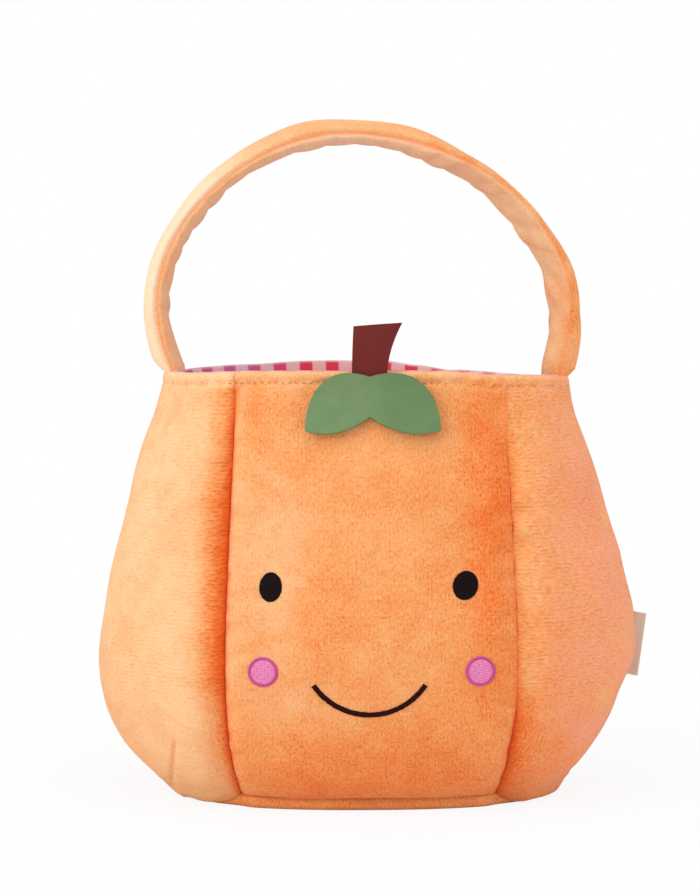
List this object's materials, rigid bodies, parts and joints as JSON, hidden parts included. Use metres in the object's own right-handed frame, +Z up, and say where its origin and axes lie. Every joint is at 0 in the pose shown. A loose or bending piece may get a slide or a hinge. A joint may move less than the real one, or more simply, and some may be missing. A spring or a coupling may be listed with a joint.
{
  "type": "pumpkin candy basket",
  "caption": "Soft padded basket shaped like a pumpkin, with puffed gores, a smiling face, a leaf and stem, a check lining and a padded carrying handle.",
  "frame": {"origin": "centre of the base's underside, on the surface the basket stands on", "axes": "+Z up towards the handle, the face looks along -Y, +X towards the side with the label"},
  "size_m": [0.2621, 0.1735, 0.3217],
  "materials": {
    "orange_plush": "short-pile plush",
    "white_wadding": "polyester wadding",
    "check_lining": "printed cotton check",
    "base_board": "stiff plastic sheet",
    "brown_sheet": "smooth imitation leather",
    "green_sheet": "smooth imitation leather",
    "dark_thread": "satin embroidery",
    "pink_thread": "satin embroidery",
    "pink_border_thread": "satin embroidery",
    "label_tape": "plain woven tape"
  },
  "bodies": {
    "basket": {"left_front_gore": "orange_plush", "front_panel": "orange_plush", "right_front_gore": "orange_plush", "right_back_gore": "orange_plush", "back_panel": "orange_plush", "left_back_gore": "orange_plush", "left_front_wadding": "white_wadding", "front_wadding": "white_wadding", "right_front_wadding": "white_wadding", "right_back_wadding": "white_wadding", "back_wadding": "white_wadding", "left_back_wadding": "white_wadding", "base_panel": "orange_plush", "base_board": "base_board", "base_wadding": "white_wadding", "lining_front": "check_lining", "lining_back": "check_lining", "lining_base": "check_lining", "handle_tab_left": "orange_plush", "handle_tab_right": "orange_plush", "stem": "brown_sheet", "leaf": "green_sheet", "left_eye": "dark_thread", "left_cheek": "pink_thread", "left_cheek_border": "pink_border_thread", "right_eye": "dark_thread", "right_cheek": "pink_thread", "right_cheek_border": "pink_border_thread", "mouth": "dark_thread", "side_label": "label_tape"},
    "handle": {"handle_outer_strip": "orange_plush", "handle_inner_strip": "orange_plush", "handle_padding": "white_wadding"}
  },
  "joints": [
    {"name": "handle_swing", "type": "hinge", "parent": "basket", "child": "handle", "pos_m": [0, 0, 0.2173], "axis": [1, 0, 0], "range_deg": [-90, 90]}
  ]
}
